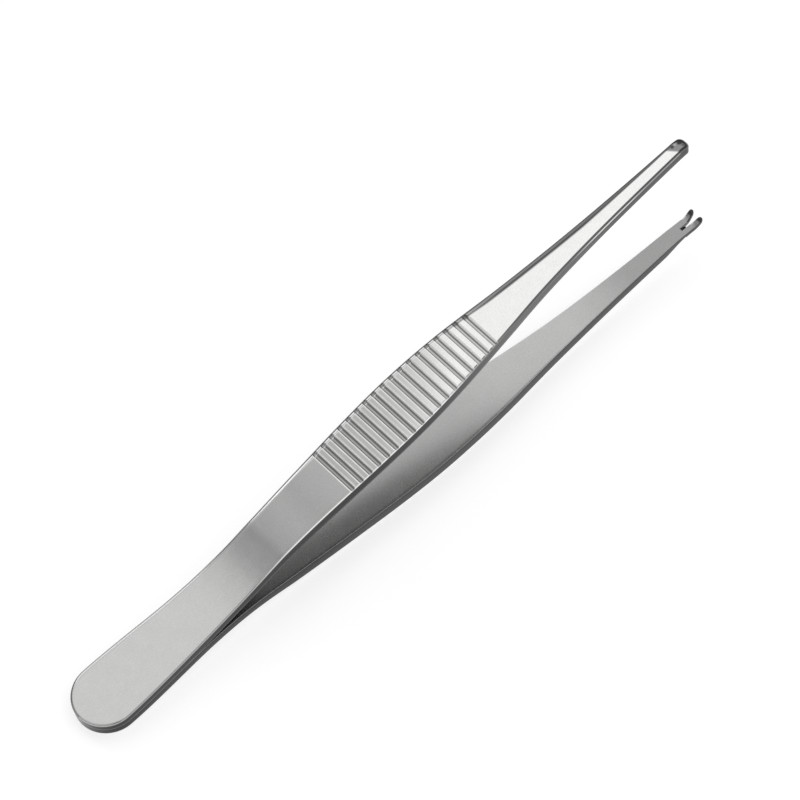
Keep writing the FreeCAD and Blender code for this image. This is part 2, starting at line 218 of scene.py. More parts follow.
@dataclass(frozen=True)
class ArmShape:
    """Driving sizes of an arm before it is laid down: station along +X, joining face at height 0.

    The nose holds distances back from the tip's end and heights above the joining face there. The widths
    are full widths in plan, the sway is how far the arm is bent to the right, and the undercut is how far
    the joining face stands back at the nose. The crease rises and fades by its two powers.
    """

    length: float = 140.0
    weld_length: float = 17.0
    weld_lead: float = 7.5
    weld_thickness: float = 1.85
    heel_thickness: float = 1.55
    bend: Section = Section(35.0, 1.05, 2.05)
    shank: Section = Section(40.5, 2.55, 2.15)
    neck: Section = Section(108.0, 10.05, 2.35)
    throat: Section = Section(134.0, 11.05, 2.2)
    grip_station: float = 76.4
    grip_reach: float = 20.0
    grip_lead: float = 7.5
    grip_rise: float = 7.15
    grip_thickness: float = 2.5
    bow_radius: float = 800.0
    bow_slope: float = math.radians(5.9)
    bow_samples: int = 200
    tip_rise: float = 11.25
    tooth_run: float = 2.2
    tooth_rise: float = 0.8
    tooth_set_back: float = 0.35
    nose: Row = ((2.4, 2.2), (1.1, 2.2), (0.0, 1.55), (0.0, 0.9))
    heel_radius: float = 6.0
    heel_lead: float = 5.0
    widths: Row = (
        (22.0, 10.3), (38.0, 9.0), (55.0, 10.1), (75.0, 12.0),
        (91.0, 9.2), (103.0, 5.75), (120.0, 3.5), (134.0, 2.6),
    )
    tip_lead: float = 1.5
    sway: Row = ((0.0, 0.0), (STATION_SPAN, 0.0))
    undercut: float = 0.0
    crease_start: float = 37.5
    crease: float = 42.9
    crease_end: float = 58.0
    crease_rise: float = 0.12
    crease_blur: float = 0.7
    crease_samples: int = 7
    crease_rise_power: int = 2
    crease_fade_power: float = 1.5

    def crease_height(self, stations: np.ndarray) -> np.ndarray:
        """Gives how far the outer face stands proud where it was bent over an edge.

        Args:
            stations: Where it is wanted.

        Returns:
            The height at each station.
        """
        total = np.zeros_like(stations)
        shifts = np.linspace(-self.crease_blur, self.crease_blur, self.crease_samples)
        for places in (stations + shift for shift in shifts):
            before = np.clip((places - self.crease_start) / (self.crease - self.crease_start), 0.0, 1.0)
            after = np.clip((self.crease_end - places) / (self.crease_end - self.crease), 0.0, 1.0)
            total += before ** self.crease_rise_power * after ** self.crease_fade_power
        return self.crease_rise * total / len(shifts)

    def bow_centre(self) -> Point:
        """Gives the centre of the grip's bow.

        Returns:
            Station and height.
        """
        across = self.grip_station + self.bow_radius * math.sin(self.bow_slope)
        up = self.grip_rise + self.grip_thickness - self.bow_radius * math.cos(self.bow_slope)
        return across, up

    def bow_point(self, radius: float, heading: float, lead: float = 0.0) -> Point:
        """Gives a point on the bow, moved along its tangent.

        Args:
            radius: Distance from the bow's centre.
            heading: Slope of the bow there, in radians.
            lead: How far along the tangent.

        Returns:
            Station and height.
        """
        centre = self.bow_centre()
        across = centre[0] - radius * math.sin(heading) + lead * math.cos(heading)
        up = centre[1] + radius * math.cos(heading) + lead * math.sin(heading)
        return across, up

    def height(self, face: Face) -> Curve:
        """Gives the height of one face along the arm.

        Args:
            face: The face.

        Returns:
            A function of station.
        """
        outer = face is Face.OUTER
        radius = self.bow_radius - (0.0 if outer else self.grip_thickness)
        half = math.asin(self.grip_reach / self.bow_radius)
        rear, front = self.bow_slope + half, self.bow_slope - half
        weld = self.weld_thickness if outer else 0.0
        heel = [(0.0, self.heel_thickness)] if outer else []
        rear_poles = heel + [
            (self.weld_length, weld), (self.weld_length + self.weld_lead, weld),
            self.bend.point(face), self.shank.point(face),
            self.bow_point(radius, rear, -self.grip_lead), self.bow_point(radius, rear),
        ]
        nose = [(self.length - back, self.tip_rise + up) for back, up in self.nose]
        root = (self.length - self.tooth_run, self.tip_rise)
        front_poles = [
            self.bow_point(radius, front), self.bow_point(radius, front, self.grip_lead),
            self.neck.point(face), self.throat.point(face), nose[0] if outer else root,
        ]
        headings = np.linspace(rear, front, self.bow_samples)[1:-1]
        bow = np.array([self.bow_point(radius, heading) for heading in headings])
        pieces = [cubic_spline(rear_poles), bow, cubic_spline(front_poles)]
        if outer:
            pieces.append(cubic_spline(nose)[1:])
        else:
            pieces.insert(0, np.array([(0.0, 0.0)]))
            pieces.append(np.array([(self.length, self.tip_rise)]))
        line = np.concatenate(pieces)
        if outer:
            line[:, 1] += self.crease_height(line[:, 0])
        return lambda station: np.interp(station, line[:, 0], line[:, 1])

    def rest_tilt(self) -> float:
        """Gives how far the arms tip up when the lower one lies on its heel and its bow.

        Returns:
            The angle, in radians.
        """
        across, up = self.bow_centre()
        up -= self.heel_thickness
        return math.acos(-self.bow_radius / math.hypot(across, up)) - math.atan2(across, up)


@dataclass(frozen=True)
class RoundedEdge:
    """How far one of the outer face's rounded edges reaches in and drops, along an arm."""

    reach: Row
    drop: Row

    def size(self, station: float) -> Point:
        """Gives the edge's inward and downward size at a station."""
        return read_row(self.reach, station), read_row(self.drop, station)


class NodeSketch:
    """A small helper that lays out shader or geometry nodes and joins them."""

    def __init__(self, tree: bpy.types.NodeTree) -> None:
        """Keeps the tree that the nodes go into."""
        self.tree = tree

    def add(self, kind: str, inputs: dict | None = None, **settings: object) -> bpy.types.Node:
        """Adds a node, sets its properties and fills its inputs.

        Args:
            kind: The node's type name.
            inputs: Input name or number to a value or to another node's output.
            settings: Properties of the node.

        Returns:
            The new node.
        """
        node = self.tree.nodes.new(kind)
        for name, value in settings.items():
            setattr(node, name, value)
        for key, value in (inputs or {}).items():
            socket = node.inputs[key]
            if isinstance(value, Socket):
                self.tree.links.new(value, socket)
            else:
                socket.default_value = value
        return node

    def math(self, operation: str, *values: object) -> Socket:
        """Adds a Math node.

        Args:
            operation: The operation's name.
            values: Numbers or sockets, in order.

        Returns:
            The result.
        """
        return self.add("ShaderNodeMath", dict(enumerate(values)), operation=operation).outputs[0]

    def ramp(self, value: Socket, span: tuple, low: object, high: object) -> Socket:
        """Adds a soft step from one value to another.

        Args:
            value: What is read.
            span: Where the step starts and where it is full.
            low: The value before the step.
            high: The value after it.

        Returns:
            The stepped value.
        """
        inputs = {"Value": value, "From Min": span[0], "From Max": span[1], "To Min": low, "To Max": high}
        return self.add("ShaderNodeMapRange", inputs, interpolation_type="SMOOTHSTEP").outputs[0]

    def rise(self, value: Socket, span: tuple) -> Socket:
        """Adds a soft step from 0 to 1."""
        return self.ramp(value, span, 0.0, 1.0)

    def fall(self, value: Socket, span: tuple) -> Socket:
        """Adds a soft step from 1 to 0."""
        return self.ramp(value, span, 1.0, 0.0)

    def band(self, value: Socket, start: Span, end: Span) -> Socket:
        """Adds a band that is 1 between two soft steps.

        Args:
            value: What is read.
            start: Where the band starts and where it is full.
            end: Where it starts to fade and where it ends.

        Returns:
            The band's share.
        """
        return self.math("MULTIPLY", self.rise(value, start), self.fall(value, end))

    def stops(self, value: Socket, row: Row) -> Socket:
        """Adds a ramp through several values.

        Args:
            value: The station, where 1 is the whole span.
            row: Stations in millimetres and the value at each.

        Returns:
            The value between the marks.
        """
        node = self.add("ShaderNodeValToRGB", {0: value})
        steps = node.color_ramp.elements
        while len(steps) < len(row):
            steps.new(0.5)
        for step, (place, tone) in zip(steps, row):
            step.position = place / STATION_SPAN
            step.color = (tone, tone, tone, 1.0)
        return node.outputs[0]

    def blend(self, share: object, first: object, second: object) -> Socket:
        """Adds a mix of two values.

        Args:
            share: The second value's share.
            first: The first value.
            second: The second value.

        Returns:
            The mix.
        """
        return self.add("ShaderNodeMix", {0: share, 2: first, 3: second}).outputs[0]

    def zone(self, zone: Enum) -> Socket:
        """Reads one of the arm's attributes in a material."""
        return self.add("ShaderNodeAttribute", attribute_name=zone.value).outputs["Fac"]

    def named(self, zone: Enum) -> Socket:
        """Reads one of the arm's attributes in a geometry tree."""
        return self.add("GeometryNodeInputNamedAttribute", {"Name": zone.value}, data_type="FLOAT").outputs[0]


@dataclass(frozen=True)
class GrooveRule:
    """The rule that the grip's cross grooves follow, and the node tree that presses them in.

    The marks are where the mesh gets extra rings, and the fades are how far around a lip or a foot its
    painted highlight or painted shade reaches. The drop fade is a share of the groove's depth.
    """

    count: int = 18
    pitch: float = 2.0
    set_back: float = 0.6
    mouth: float = 1.04
    floor: float = 0.36
    depth: float = 0.34
    floor_mark: float = 0.5
    wall_marks: tuple[float, ...] = (0.16, 0.34, 0.5, 0.66, 0.84)
    land_mark: float = 0.08
    lip_fade: Span = (0.04, 0.16)
    foot_fade: Span = (0.05, 0.17)
    drop_fade: Span = (0.5, 1.0)

    def first(self, shape: ArmShape) -> float:
        """Gives the station of the groove nearest the heel."""
        return shape.grip_station - self.set_back - self.pitch * (self.count - 1) / 2

    def reach(self, shape: ArmShape) -> Span:
        """Gives the stations where the grooved stretch starts and ends."""
        first = self.first(shape)
        return first - self.pitch / 2, first + self.pitch * (self.count - 0.5)

    def stations(self, shape: ArmShape) -> list[float]:
        """Gives the stations that the mesh needs to hold every groove's lips and floor.

        Args:
            shape: The arm's sizes.

        Returns:
            Stations from the heel to the tip.
        """
        lip, foot = self.mouth / 2, self.floor / 2
        steps = [foot + share * (lip - foot) for share in self.wall_marks]
        steps += [0.0, self.floor_mark * foot, foot, lip, lip + self.land_mark, (lip + self.pitch / 2) / 2]
        marks = sorted({sign * step for step in steps for sign in (-1.0, 1.0)}) + [self.pitch / 2]
        first = self.first(shape)
        return [first + self.pitch * turn + mark for turn in range(self.count) for mark in marks]

    def inputs(self, shape: ArmShape) -> dict[str, float]:
        """Gives the values of the tree's named inputs.

        Args:
            shape: The arm's sizes.

        Returns:
            Input name to value.
        """
        return {
            GrooveSize.FIRST.value: self.first(shape), GrooveSize.PITCH.value: self.pitch,
            GrooveSize.COUNT.value: float(self.count), GrooveSize.MOUTH.value: self.mouth,
            GrooveSize.FLOOR.value: self.floor, GrooveSize.DEPTH.value: self.depth,
        }

    def tree(self, name: str, material: bpy.types.Material) -> bpy.types.NodeTree:
        """Builds the node tree that presses evenly spaced grooves into a face.

        The tree also stores how far each point belongs to a groove's bed and to the foot of its far wall,
        which get painted shade, and to its lips, which get a painted highlight.

        Args:
            name: Name of the tree.
            material: The finish that the result gets.

        Returns:
            A geometry node tree with named inputs for the grooves' sizes.
        """
        tree = bpy.data.node_groups.new(name, "GeometryNodeTree")
        tree.interface.new_socket("Geometry", in_out="INPUT", socket_type="NodeSocketGeometry")
        for size in GrooveSize:
            tree.interface.new_socket(size.value, in_out="INPUT", socket_type="NodeSocketFloat")
        tree.interface.new_socket("Geometry", in_out="OUTPUT", socket_type="NodeSocketGeometry")
        nodes = NodeSketch(tree)
        source = nodes.add("NodeGroupInput").outputs
        given = {size: source[size.value] for size in GrooveSize}
        depth, pitch = given[GrooveSize.DEPTH], given[GrooveSize.PITCH]
        position = nodes.add("GeometryNodeInputPosition").outputs[0]
        place = nodes.add("ShaderNodeSeparateXYZ", {0: position}).outputs[0]
        steps = nodes.math("DIVIDE", nodes.math("SUBTRACT", place, given[GrooveSize.FIRST]), pitch)
        last = nodes.math("SUBTRACT", given[GrooveSize.COUNT], 1.0)
        nearest = nodes.math("MAXIMUM", nodes.math("MINIMUM", nodes.math("ROUND", steps), last), 0.0)
        ahead = nodes.math("MULTIPLY", nodes.math("SUBTRACT", steps, nearest), pitch)
        away = nodes.math("ABSOLUTE", ahead)
        lip = nodes.math("MULTIPLY", given[GrooveSize.MOUTH], 0.5)
        foot = nodes.math("MULTIPLY", given[GrooveSize.FLOOR], 0.5)
        drop, outside = nodes.named(Zone.DROP), nodes.math("SUBTRACT", 1.0, nodes.named(Zone.INNER))
        groove = nodes.math("SUBTRACT", nodes.ramp(away, (foot, lip), depth, 0.0), drop)
        press = nodes.math("MULTIPLY", nodes.math("MAXIMUM", groove, 0.0), outside)
        offset = nodes.add("ShaderNodeCombineXYZ", {2: nodes.math("MULTIPLY", press, -1.0)}).outputs[0]
        open_share = nodes.ramp(nodes.math("DIVIDE", drop, depth), self.drop_fade, outside, 0.0)
        from_lip = nodes.math("ABSOLUTE", nodes.math("SUBTRACT", away, lip))
        from_foot = nodes.math("ABSOLUTE", nodes.math("SUBTRACT", ahead, foot))
        # Shares of the painted shade in the beds and at the far walls' feet, and of the painted highlight on
        # the lips.
        shares = {
            GrooveShading.BED: nodes.fall(away, (foot, lip)),
            GrooveShading.LIP: nodes.fall(from_lip, self.lip_fade),
            GrooveShading.FOOT: nodes.fall(from_foot, self.foot_fade),
        }
        inputs = {"Geometry": source["Geometry"], "Offset": offset}
        body = nodes.add("GeometryNodeSetPosition", inputs).outputs[0]
        for shading, share in shares.items():
            share = nodes.math("MULTIPLY", share, open_share)
            inputs = {"Geometry": body, "Name": shading.value, "Value": share}
            stored = nodes.add("GeometryNodeStoreNamedAttribute", inputs, data_type="FLOAT", domain="POINT")
            body = stored.outputs[0]
        body = nodes.add("GeometryNodeRealizeInstances", {"Geometry": body}).outputs[0]
        body = nodes.add("GeometryNodeSetMaterial", {"Geometry": body, "Material": material}).outputs[0]
        nodes.add("NodeGroupOutput", {"Geometry": body})
        return tree


@dataclass(frozen=True)
class Noise:
    """A noise of the steel's surface, with its scale per metre."""

    scale: float
    detail: float
    roughness: float

    def value(self, nodes: NodeSketch, place: Socket) -> Socket:
        """Adds the noise.

        Args:
            nodes: Where the node goes.
            place: The coordinates that it reads.

        Returns:
            The noise's value.
        """
        inputs = {"Vector": place, "Scale": self.scale, "Detail": self.detail, "Roughness": self.roughness}
        return nodes.add("ShaderNodeTexNoise", inputs).outputs[0]


@dataclass(frozen=True)
class EdgeTones:
    """Tones of one side's rounded edge along the arm: painted highlights and painted shade.

    The spans are shares of the way round the edge: the first is where the rim's tone takes over from the
    face's, and the second where the edge's tone takes over from the rim's.
    """

    rim_span: Span
    edge_span: Span
    rim: Row
    edge: Row

    def over(self, nodes: NodeSketch, tone: Socket) -> Socket:
        """Lays the edge's painted highlights and shade over the face's tone.

        Args:
            nodes: Where the nodes go.
            tone: The face's tone.

        Returns:
            The tone of the face and its edge on that side.
        """
        station, rim = nodes.zone(Zone.STATION), nodes.zone(Zone.RIM)
        tone = nodes.blend(nodes.rise(rim, self.rim_span), tone, nodes.stops(station, self.rim))
        return nodes.blend(nodes.rise(rim, self.edge_span), tone, nodes.stops(station, self.edge))


@dataclass(frozen=True)
class SteelFinish:
    """Satin steel whose tone follows the zones of an arm, with reflections, highlights and shade painted into
    the tone.

    Each row of tones holds stations in millimetres and the steel's tone there. The slant and the grip
    spans are shares of the station span, and the line and side spans are shares of the way round an edge.
    """

    name: str
    # The outer face's tones are painted reflection: a light then a dark band at the bend, darker over the
    # grip's heel end, and brightening to near white over the grip's tip end and the taper.
    outer_tones: Row = (
        (0.0, 0.63), (26.0, 0.63), (32.0, 0.64), (36.0, 0.70), (40.0, 0.60), (44.0, 0.50), (48.0, 0.50),
        (52.0, 0.44), (60.0, 0.50), (70.0, 0.53), (76.0, 0.62), (80.0, 0.73), (84.0, 0.85), (88.0, 0.97),
        (92.0, 0.94), (140.0, 1.0),
    )
    # The joining face's grey, with painted shade: darker towards the heel, where it lies between the arms,
    # and darker again towards the tip.
    inner_tones: Row = (
        (0.0, 0.40), (60.0, 0.41), (72.0, 0.44), (84.0, 0.475), (94.0, 0.545), (110.0, 0.555), (117.0, 0.49),
        (124.0, 0.39), (140.0, 0.37),
    )
    # The left edge turns away from the light: a lighter rim towards the heel, then painted shade on the rim
    # and the edge over the grip and the taper.
    left: EdgeTones = EdgeTones(
        rim_span=(0.0, 0.2), edge_span=(0.3, 0.44),
        rim=(
            (0.0, 0.55), (34.0, 0.55), (50.0, 0.55), (60.0, 0.36), (84.0, 0.34), (92.0, 0.20), (100.0, 0.08),
            (140.0, 0.06),
        ),
        edge=((0.0, 0.22), (38.0, 0.22), (46.0, 0.16), (60.0, 0.12), (92.0, 0.12), (140.0, 0.05)),
    )
    # The right edge: a darker rim at the heel, a painted bright rim over the bend and the grip, painted shade
    # over the taper, and a painted light line on the edge near the tip.
    right: EdgeTones = EdgeTones(
        rim_span=(0.15, 0.4), edge_span=(0.68, 0.8),
        rim=(
            (0.0, 0.50), (36.0, 0.50), (46.0, 0.85), (60.0, 0.85), (80.0, 0.90), (88.0, 0.35), (98.0, 0.14),
            (140.0, 0.11),
        ),
        edge=(
            (0.0, 0.20), (58.0, 0.06), (84.0, 0.10), (94.0, 0.16), (112.0, 0.22), (119.0, 0.75),
            (126.0, 0.75), (131.0, 0.40), (140.0, 0.40),
        ),
    )
    # Painted shade: the sides are kept near black, where the steel would reflect the white floor.
    side_tones: Row = (
        (0.0, 0.03), (60.0, 0.02), (76.0, 0.03), (88.0, 0.08), (98.0, 0.12), (114.0, 0.11), (124.0, 0.08),
        (140.0, 0.07),
    )
    # Painted shade in the grooves' beds, lighter towards the tip.
    bed_tones: Row = ((0.0, 0.40), (60.0, 0.40), (74.0, 0.44), (84.0, 0.54), (94.0, 0.64), (140.0, 0.64))
    # A painted highlight on the grooves' lips and the left rim's line, and painted shade at the feet of the
    # grooves' far walls.
    lip_tone: float = 0.95
    foot_tone: float = 0.2
    # The tip zone's dark tone: painted shade at the fork, and the dark patch on the single tooth's nose.
    tip_tone: float = 0.05
    # The slant tilts the painted reflection across the grip, darker on the left side and lighter on the
    # right.
    slant: float = 0.0386
    slant_span: Span = (0.41, 0.46)
    middle_span: Span = (-0.02, 0.02)
    grip_start: Span = (0.38, 0.42)
    grip_end: Span = (0.60, 0.66)
    # The line spans place a painted highlight along the left rim over the grip.
    line_start: Span = (0.0, 0.03)
    line_end: Span = (0.05, 0.1)
    side_span: Span = (0.92, 0.99)
    warmth: tuple[float, float, float] = (1.0, 0.997, 0.99)
    roughness: float = 0.19
    inner_roughness: float = 0.27
    roughness_change: float = 0.01
    mottle: Noise = Noise(scale=420.0, detail=5.0, roughness=0.6)
    mottle_span: Span = (0.25, 0.75)
    mottle_share: float = 0.02
    grain: Noise = Noise(scale=3200.0, detail=3.0, roughness=0.7)
    grain_share: float = 0.035
    noise_span: Span = (0.3, 0.7)
    brushing: Noise = Noise(scale=1.0, detail=4.0, roughness=0.65)
    brushing_scale: Place = (60.0, 2600.0, 2600.0)
    brushing_share: float = 0.7
    # How much of the painted highlights the mottle takes away at random.
    highlight_break_share: float = 0.25
    bump_strength: float = 0.35
    bump_height: float = 0.0000025

    def material(self) -> bpy.types.Material:
        """Builds the finish.

        Returns:
            A material whose colour, roughness and grain are worked out by nodes.
        """
        material = bpy.data.materials.new(self.name)
        material.use_nodes = True
        material.node_tree.nodes.clear()
        nodes = NodeSketch(material.node_tree)
        place = nodes.add("ShaderNodeTexCoord").outputs["Object"]
        streaks = nodes.add("ShaderNodeMapping", {"Vector": place, "Scale": self.brushing_scale}).outputs[0]
        mottle, grain = self.mottle.value(nodes, place), self.grain.value(nodes, place)
        tone = self.tone(nodes, mottle)
        change = nodes.ramp(mottle, self.mottle_span, 1 - self.mottle_share, 1 + self.mottle_share)
        tone = nodes.math("MULTIPLY", tone, change)
        change = nodes.ramp(grain, self.noise_span, 1 - self.grain_share, 1 + self.grain_share)
        tone = nodes.math("MULTIPLY", tone, change)
        colour = nodes.add("ShaderNodeCombineColor", {
            channel: nodes.math("MULTIPLY", tone, share) for channel, share in enumerate(self.warmth)
        }).outputs[0]
        gloss = nodes.blend(nodes.zone(Zone.INNER), self.roughness, self.inner_roughness)
        change = nodes.ramp(mottle, self.noise_span, -self.roughness_change, self.roughness_change)
        gloss = nodes.math("ADD", gloss, change)
        brushed = nodes.math("MULTIPLY", self.brushing.value(nodes, streaks), self.brushing_share)
        bump = nodes.add("ShaderNodeBump", {
            "Strength": self.bump_strength, "Distance": self.bump_height,
            "Height": nodes.math("ADD", grain, brushed),
        })
        steel = nodes.add("ShaderNodeBsdfPrincipled", {
            "Base Color": colour, "Metallic": 1.0, "Roughness": gloss, "Normal": bump.outputs[0],
        })
        nodes.add("ShaderNodeOutputMaterial", {"Surface": steel.outputs[0]})
        return material

    def tone(self, nodes: NodeSketch, mottle: Socket) -> Socket:
        """Works out how light the steel is, from the zones, painting in its reflections, highlights and
        shade.

        Args:
            nodes: Where the nodes go.
            mottle: Noise that breaks up the painted highlights at random.

        Returns:
            The tone, from 0 to 1.
        """
        station, across, rim = nodes.zone(Zone.STATION), nodes.zone(Zone.ACROSS), nodes.zone(Zone.RIM)
        lean = nodes.math("MULTIPLY", nodes.ramp(station, self.slant_span, 0.0, self.slant), across)
        face = nodes.stops(nodes.math("SUBTRACT", station, lean), self.outer_tones)
        # How much of the painted highlights is kept, varying at random.
        highlight_kept = nodes.ramp(mottle, self.noise_span, 1 - self.highlight_break_share, 1.0)
        gripped = nodes.band(station, self.grip_start, self.grip_end)
        # A painted highlight line along the left rim over the grip.
        line = nodes.math("MULTIPLY", nodes.band(rim, self.line_start, self.line_end), gripped)
        left = self.left.over(nodes, self.grooved(nodes, face, highlight_kept))
        left = nodes.blend(nodes.math("MULTIPLY", line, highlight_kept), left, self.lip_tone)
        right = self.grooved(nodes, self.right.over(nodes, face), highlight_kept)
        tone = nodes.blend(nodes.rise(across, self.middle_span), right, left)
        # Painted shade on the sides.
        tone = nodes.blend(nodes.rise(rim, self.side_span), tone, nodes.stops(station, self.side_tones))
        tone = nodes.blend(nodes.zone(Zone.INNER), tone, nodes.stops(station, self.inner_tones))
        return nodes.blend(nodes.zone(Zone.TIP), tone, self.tip_tone)

    def grooved(self, nodes: NodeSketch, tone: Socket, highlight_kept: Socket) -> Socket:
        """Paints shade into the grooves' beds and at the feet of their far walls, and a highlight on their
        lips.

        Args:
            nodes: Where the nodes go.
            tone: The tone around the grooves.
            highlight_kept: How much of the lips' painted highlight is kept.

        Returns:
            The tone with the grooves.
        """
        beds = nodes.stops(nodes.zone(Zone.STATION), self.bed_tones)
        tone = nodes.blend(nodes.zone(GrooveShading.BED), tone, beds)
        tone = nodes.blend(nodes.zone(GrooveShading.FOOT), tone, self.foot_tone)
        return nodes.blend(nodes.math("MULTIPLY", nodes.zone(GrooveShading.LIP), highlight_kept), tone, self.lip_tone)


def linked(name: str, data: bpy.types.ID) -> bpy.types.Object:
    """Makes an object of the scene.

    Args:
        name: Name of the object.
        data: Its mesh, light or camera.

    Returns:
        The object.
    """
    piece = bpy.data.objects.new(name, data)
    bpy.context.scene.collection.objects.link(piece)
    return piece


def take_result(piece: bpy.types.Object) -> None:
    """Replaces an object's mesh by what its modifiers make of it, and takes them off.

    Args:
        piece: An object with live modifiers.
    """
    bpy.context.view_layer.update()
    evaluated = piece.evaluated_get(bpy.context.evaluated_depsgraph_get())
    mesh = bpy.data.meshes.new_from_object(evaluated)
    old = piece.data
    piece.modifiers.clear()
    piece.data = mesh
    bpy.data.meshes.remove(old)
    mesh.name = piece.name


def combine(piece: bpy.types.Object, tool: bpy.types.Object, use: Tool) -> None:
    """Joins a tool to an object or cuts the object with it.

    Args:
        piece: The object that stays.
        tool: The object that is used up.
        use: What the tool does.
    """
    modifier = piece.modifiers.new("Tip", "BOOLEAN")
    modifier.operation = use.value
    modifier.solver = "EXACT"
    modifier.object = tool
    take_result(piece)
    mesh = tool.data
    bpy.data.objects.remove(tool)
    bpy.data.meshes.remove(mesh)


def tube_faces(rings: int, count: int) -> list[tuple[int, ...]]:
    """Gives the faces between rings of points that follow each other.

    Args:
        rings: How many rings.
        count: How many points each has.

    Returns:
        Faces, as numbers of points.
    """
    faces = []
    for ring in range(rings - 1):
        for place in range(count):
            near, far = ring * count + place, ring * count + (place + 1) % count
            faces.append((near, near + count, far + count, far))
    return faces


def solid(name: str, points: list[Place], faces: list[tuple[int, ...]]) -> bpy.types.Object:
    """Makes an object from a closed mesh and turns its faces outwards.

    Args:
        name: Name of the object.
        points: The mesh's points.
        faces: The mesh's faces, as numbers of points.

    Returns:
        The object.
    """
    mesh = bpy.data.meshes.new(name)
    mesh.from_pydata(points, [], faces)
    work = bmesh.new()
    work.from_mesh(mesh)
    bmesh.ops.recalc_face_normals(work, faces=work.faces[:])
    work.to_mesh(mesh)
    work.free()
    return linked(name, mesh)


def extruded(name: str, profile: list[Point], reach: Span, bevel: float = 0.0) -> bpy.types.Object:
    """Makes a closed prism that runs across the arm.

    Args:
        name: Name of the object.
        profile: Corners of its outline: station and height.
        reach: Where the prism starts and ends across the arm.
        bevel: Width of its broken edges.

    Returns:
        The prism.
    """
    work = bmesh.new()
    near, far = ([work.verts.new((station, across, up)) for station, up in profile] for across in reach)
    work.faces.new(near)
    work.faces.new(far[::-1])
    for index in range(len(profile)):
        following = (index + 1) % len(profile)
        work.faces.new((near[index], far[index], far[following], near[following]))
    bmesh.ops.recalc_face_normals(work, faces=work.faces[:])
    if bevel:
        bmesh.ops.bevel(work, geom=work.edges[:], offset=bevel, segments=BEVEL_SEGMENTS, affect="EDGES",
                        profile=ROUND_PROFILE)
    mesh = bpy.data.meshes.new(name)
    work.to_mesh(mesh)
    work.free()
    return linked(name, mesh)


@dataclass(frozen=True)
class Tip(ABC):
    """What an arm ends in.

    The body cut is how far before the arm's end its plain body stops, and the region is how far before it
    the tip's own zones start.
    """

    body_cut: float = 0.0
    region: float = 4.2

    def body_end(self, shape: ArmShape) -> float:
        """Gives the station where the arm's plain body ends."""
        return shape.length - self.body_cut

    @abstractmethod
    def rim_start(self, shape: ArmShape) -> float:
        """Gives the station from which the rim zone follows the way that the surface faces."""

    @abstractmethod
    def form(self, piece: bpy.types.Object, shape: ArmShape, joining: Curve) -> None:
        """Forms the teeth on an arm.

        Args:
            piece: The arm in its own frame.
            shape: The arm's sizes.
            joining: Height of the joining face as a function of station.
        """

    @abstractmethod
    def darkness(self, spot: Vector, normal: Vector, shape: ArmShape, joining: Curve) -> float:
        """Gives how much of the dark tone a point of the tip gets.

        Args:
            spot: The point, in the arm's own frame.
            normal: The way that it faces.
            shape: The arm's sizes.
            joining: Height of the joining face as a function of station.

        Returns:
            The share of the tip's dark tone.
        """


@dataclass(frozen=True)
class DarkMark:
    """A round mark that darkens or lightens the nose: its distance back from the tip's end, its place across,
    its radius and its share.
    """

    back: float
    across: float
    radius: float
    share: float


@dataclass(frozen=True)
class SingleTooth(Tip):
    """A tip with one tooth: a wedge that stands on the joining face and reaches into the arm."""

    width: float = 0.7
    bevel: float = 0.07
    root_lead: float = 0.1
    root_sink: float = 0.3
    crest_flat: float = 0.1
    end_inset: float = 0.05
    end_step: float = 0.1
    top_inset: float = 0.2
    top_lead: float = 0.6
    patch_share: float = 0.74
    patch_slant: float = 0.75
    patch_backs: Span = (3.75, 3.2)
    marks: tuple[DarkMark, ...] = (
        DarkMark(2.75, 0.35, 0.45, 0.22), DarkMark(2.0, 0.45, 0.5, -0.25), DarkMark(1.3, 0.1, 0.5, 0.3),
        DarkMark(0.7, 0.5, 0.55, 0.35), DarkMark(0.5, -0.2, 0.5, 0.4), DarkMark(1.1, 0.95, 0.35, 0.3),
        DarkMark(1.2, -0.6, 0.3, 0.15),
    )
    mark_edge: Span = (0.4, 1.0)
    most_dark: float = 0.97

    def rim_start(self, shape: ArmShape) -> float:
        """Gives the station where the nose's curve starts."""
        return shape.length - shape.nose[0][0]

    def form(self, piece: bpy.types.Object, shape: ArmShape, joining: Curve) -> None:
        """Joins the tooth to the arm.

        Args:
            piece: The arm in its own frame.
            shape: The arm's sizes.
            joining: Height of the joining face, which this tip doesn't need.
        """
        level, end = shape.tip_rise, shape.length - self.end_inset
        root, crest = shape.length - shape.tooth_run, shape.length - shape.tooth_set_back
        low, high = level - shape.tooth_rise, level + shape.nose[-1][1] - self.top_inset
        profile = [
            (root - self.root_lead, level + self.root_sink), (root, level), (crest - self.crest_flat, low),
            (crest, low), (end, level + self.end_step), (end, high), (root + self.top_lead, high),
        ]
        tooth = extruded("tooth", profile, (-self.width / 2, self.width / 2), self.bevel)
        combine(piece, tooth, Tool.JOIN)

    def darkness(self, spot: Vector, normal: Vector, shape: ArmShape, joining: Curve) -> float:
        """Gives how dark the nose is: a patch with a slanting rear edge, and round marks on it.

        Args:
            spot: The point, in the arm's own frame.
            normal: The way that it faces, which this tip doesn't need.
            shape: The arm's sizes.
            joining: Height of the joining face, which this tip doesn't need.

        Returns:
            The share of the tip's dark tone.
        """
        u, v, _ = spot
        start, full = (shape.length - back for back in self.patch_backs)
        dark = self.patch_share * soft_step(u + self.patch_slant * v, start, full)
        for mark in self.marks:
            away = math.hypot(u - (shape.length - mark.back), v - mark.across) / mark.radius
            dark += mark.share * (1.0 - soft_step(away, *self.mark_edge))
        return min(max(dark, 0.0), self.most_dark)


